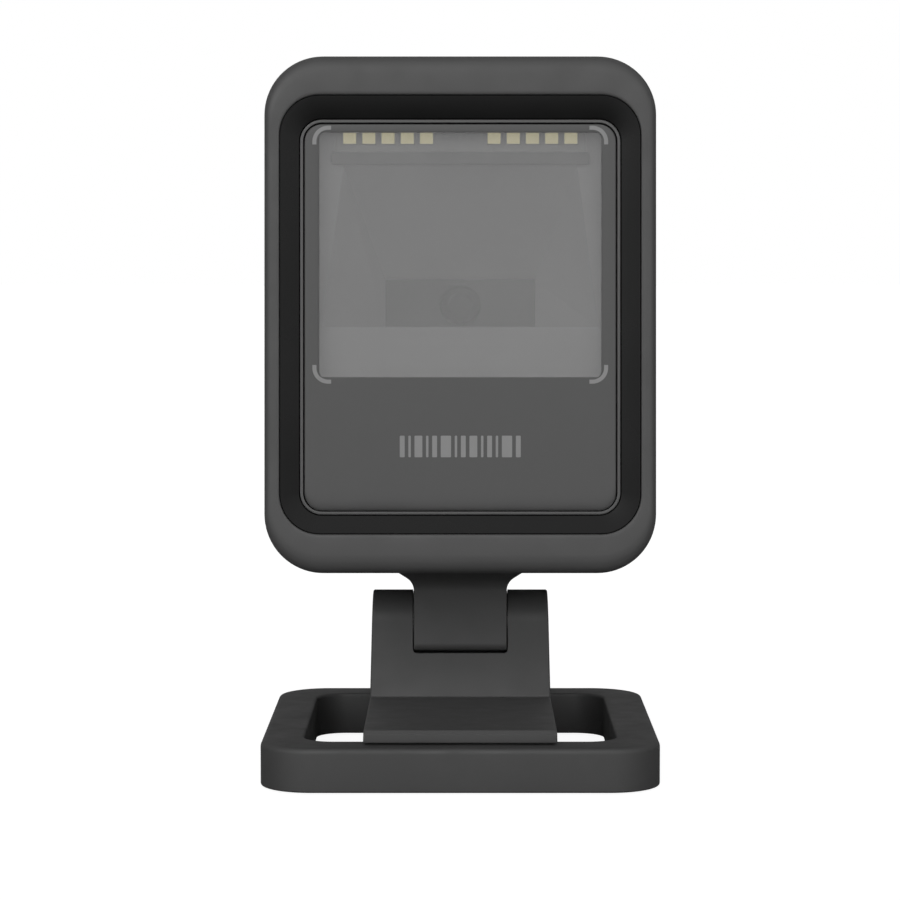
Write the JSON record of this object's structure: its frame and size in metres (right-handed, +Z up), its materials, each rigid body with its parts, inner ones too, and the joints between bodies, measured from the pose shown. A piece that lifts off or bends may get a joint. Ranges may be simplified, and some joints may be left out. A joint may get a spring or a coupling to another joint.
{
  "type": "presentation barcode scanner",
  "caption": "Hands-free counter-top barcode scanner: upright head with a large window in a black ring, tilting on a neck above a square ring-shaped base.",
  "frame": {"origin": "centre of the footprint, on the surface that the base stands on", "axes": "+Z up, -Y the way the window faces, +X to the right when facing the window"},
  "size_m": [0.0814, 0.0814, 0.1485],
  "materials": {
    "shell_plastic": "fine moulded texture, dark grey",
    "stand_plastic": "fine moulded texture, darker grey",
    "base_metal": "die-cast ring, matt powder coat",
    "ring_plastic": "smoked translucent black, polished",
    "panel_plastic": "satin, dark grey",
    "window_glass": "clear hard-coated pane",
    "chamber_plastic": "smooth moulded grey",
    "mirror_glass": "front-silvered",
    "board_laminate": "green solder mask",
    "led_resin": "yellowish LED resin",
    "black_plastic": "moulded black",
    "clear_glass": "coated lens",
    "silicon": "dark die under cover glass",
    "plated_steel": "zinc plated",
    "rubber": "soft matt black",
    "flex_film": "amber polyimide film"
  },
  "bodies": {
    "stand": {"base_ring": "base_metal", "stand_bracket": "stand_plastic", "pivot_cap_left": "stand_plastic", "pivot_cap_right": "stand_plastic", "foot_pad_1": "rubber", "foot_pad_2": "rubber", "foot_pad_3": "rubber", "foot_pad_4": "rubber", "bracket_screw_left": "plated_steel", "bracket_screw_right": "plated_steel", "friction_washer_left": "plated_steel", "friction_washer_right": "plated_steel", "hinge_bolt": "plated_steel", "hinge_nut": "plated_steel"},
    "head": {"front_bezel": "shell_plastic", "rear_cover": "shell_plastic", "neck": "stand_plastic", "light_ring": "ring_plastic", "window_frame": "panel_plastic", "face_panel": "panel_plastic", "scan_window": "window_glass", "window_gasket": "rubber", "optics_chamber": "chamber_plastic", "lamp_baffle": "chamber_plastic", "fold_mirror": "mirror_glass", "led_board": "board_laminate", "imager_board": "board_laminate", "main_board": "board_laminate", "inlet_board": "board_laminate", "imager_housing": "black_plastic", "lens_barrel": "black_plastic", "beeper": "black_plastic", "cable_socket": "black_plastic", "lens_glass": "clear_glass", "image_sensor": "silicon", "imager_ribbon": "flex_film", "cover_screw_1": "plated_steel", "cover_screw_2": "plated_steel", "cover_screw_3": "plated_steel", "cover_screw_4": "plated_steel", "neck_screw_left": "plated_steel", "neck_screw_right": "plated_steel", "imager_screw_left": "plated_steel", "imager_screw_right": "plated_steel", "processor_shield": "plated_steel", "led_left_1": "led_resin", "led_left_2": "led_resin", "led_left_3": "led_resin", "led_left_4": "led_resin", "led_left_5": "led_resin", "led_right_1": "led_resin", "led_right_2": "led_resin", "led_right_3": "led_resin", "led_right_4": "led_resin", "led_right_5": "led_resin"}
  },
  "joints": [
    {"name": "head_tilt", "type": "hinge", "parent": "stand", "child": "head", "pos_m": [0, 0.0137, 0.0285], "axis": [1, 0, 0], "range_deg": [-26, 22]}
  ]
}
